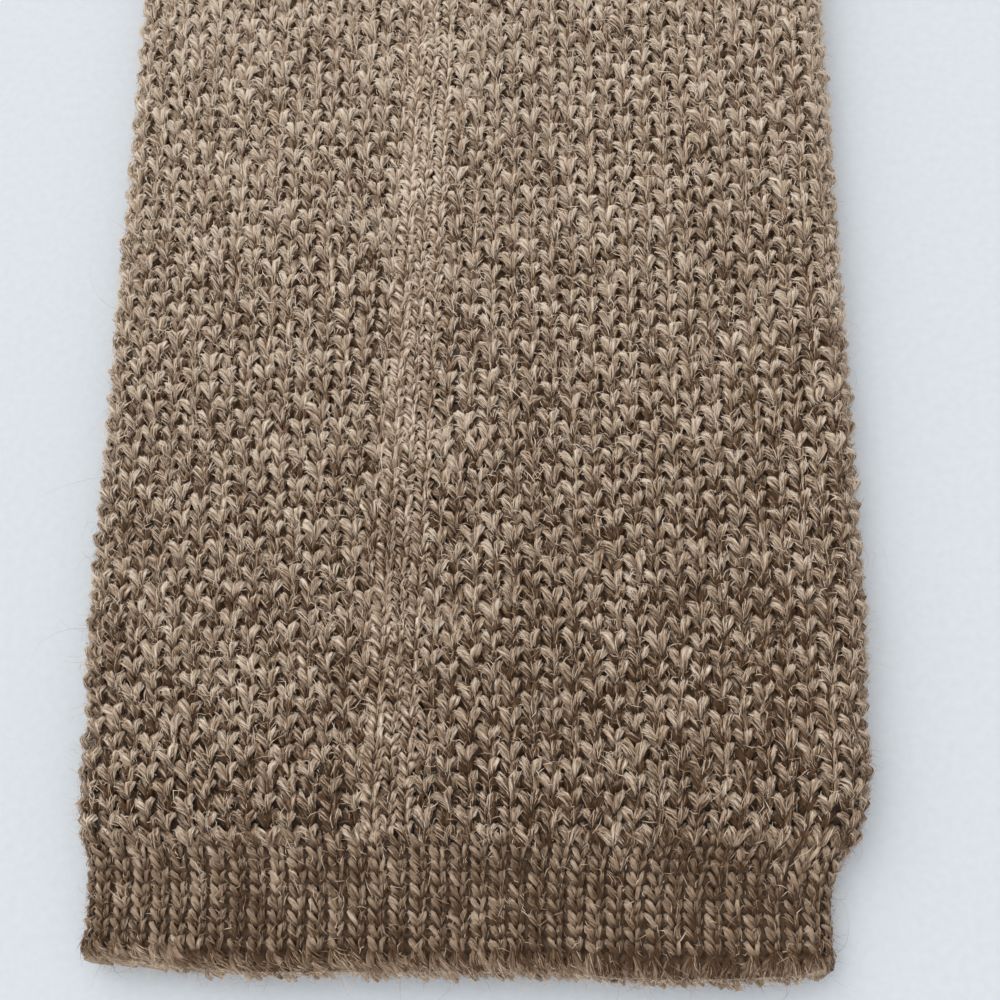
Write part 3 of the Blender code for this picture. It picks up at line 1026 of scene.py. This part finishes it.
def add_camera():
    """The photograph's view, from above the tip and a little to the right."""
    location = (0.01576, PHOTO_ZERO_Y + 0.00704, 0.10779)
    right = (0.99284, 0.00372, -0.11938)
    down = (-0.02915, -0.96177, -0.27233)
    forward = (-0.11583, 0.27386, -0.95477)
    axes = Matrix((right, tuple(-v for v in down), tuple(-v for v in forward))).transposed()
    data = bpy.data.cameras.new("camera")
    data.lens = 46.8
    data.sensor_width = 36.0
    data.clip_start = 0.005
    data.clip_end = 20.0
    camera = bpy.data.objects.new("camera", data)
    camera.matrix_world = Matrix.Translation(location) @ axes.to_4x4()
    bpy.context.scene.collection.objects.link(camera)
    bpy.context.scene.camera = camera


def add_light(name, kind, location, toward, power, colour, **sizes):
    """A light of the given kind at a place, turned so that it shines along toward."""
    data = bpy.data.lights.new(name, kind)
    data.energy = power
    data.color = colour
    for key, value in sizes.items():
        setattr(data, key, value)
    light = bpy.data.objects.new(name, data)
    light.location = location
    light.rotation_euler = Vector(toward).to_track_quat("-Z", "Y").to_euler()
    bpy.context.scene.collection.objects.link(light)


def add_lights():
    """An even pale room, broad daylight from the upper left and a soft lamp near the tip."""
    world = bpy.data.worlds.new("room")
    world.use_nodes = True
    background = world.node_tree.nodes["Background"]
    background.inputs["Color"].default_value = (0.95, 0.97, 1.0, 1.0)
    background.inputs["Strength"].default_value = 0.865
    bpy.context.scene.world = world
    add_light("daylight", "SUN", (-1.0, 1.0, 2.0), (0.38, -0.50, -0.78), 0.66, (1.0, 0.98, 0.95), angle=1.3)
    add_light(
        "lamp", "AREA", (-0.45, FRONT_TIP + 0.55, 0.75), (0.42, -0.42, -0.80), 1.1, (1.0, 0.97, 0.93),
        size=0.6,
    )


add_camera()
add_floor()
add_lights()
bpy.context.scene.view_settings.view_transform = "Standard"

yarn = yarn_material("marled_yarn", contrast=3.3)
band_yarn = yarn_material("even_yarn", contrast=0.95)
fibre = fibre_material("loose_fibre")
ground = ground_material("knit_ground", SHADED_GAP_GROUND, WALE, COURSE)
band_ground = ground_material("band_ground", SHADED_BAND_GAP_GROUND, BAND_WALE, BAND_COURSE)

# The stretch that the photograph shows, stitch by stitch. Each build's order keeps the random draws
frays = YarnMesh()
for side, word in ((-1, "left"), (1, "right")):
    raised, sunk = close_knit(side, frays)
    raised.build(f"front_raised_{word}", yarn, "tuck_knit")
    sunk.build(f"front_sunk_{word}", yarn, "tuck_knit")
frays.build("front_frays", fibre, "tuck_knit")
end_frays = YarnMesh()
band_stitches = [band_knit(end_frays).build("front_band_stitches", band_yarn, "plain_knit")]
loops, wraps = closing_knit(end_frays)
band_stitches.append(loops.build("front_closing_loops", band_yarn, "plain_knit"))
band_stitches.append(wraps.build("front_lip_cord", band_yarn, "plain_knit"))
close_seam = seam_knit(FRONT_TIP + 9.6 * MM, CLOSE_END, end_frays)
seam_stitches = [close_seam.build("front_seam_stitches", yarn, "seam_knit")]
band_stitches.append(end_frays.build("front_end_frays", fibre, "plain_knit"))
surface_fibres().build("front_loose_fibres", fibre, "tuck_knit")
edge_fibres().build("front_edge_fuzz", fibre, "tuck_knit")

# The rest of the tie, in plainer stitches
far = far_knit(CLOSE_END + COURSE / 2, FRONT_BLADE_END)
far.build("front_upper_stitches", yarn, "tuck_knit")
neck_stitches = far_knit(FRONT_BLADE_END, NECK_END).build("neck_stitches", yarn, "tuck_knit")
tail = far_knit(NECK_END, TAIL_BLADE_END - COURSE / 2)
tail_stitches = tail.build("tail_stitches", yarn, "tuck_knit")
far_stitches = far_seam(CLOSE_END, TAIL_BLADE_END)
seam_stitches.append(far_stitches.build("seam_upper_stitches", yarn, "seam_knit"))
tail_band_stitches = far_band().build("tail_band_stitches", yarn, "plain_knit")

# The cloth under the stitches
front_blade = folded_blade(
    "front_blade_knit", "front_blade", ground, FRONT_BLADE_START, FRONT_BLADE_END, BLADE_STEP, CLOSE_INSET,
)
neck = folded_blade("neck_band_knit", "neck_band", ground, FRONT_BLADE_END, NECK_END, LONG_STEP, FAR_INSET)
tail_blade = folded_blade(
    "tail_blade_knit", "tail_blade", ground, NECK_END, TAIL_BLADE_END, BLADE_STEP, FAR_INSET,
)
seam = seam_strip("back_seam_knit", "back_seam", band_ground)
front_band = end_band("front_end_band_knit", "front_end_band", band_ground, FRONT_BLADE_START, FRONT_TIP)
tail_band = end_band("tail_end_band_knit", "tail_end_band", band_ground, TAIL_BLADE_END, TAIL_TIP)
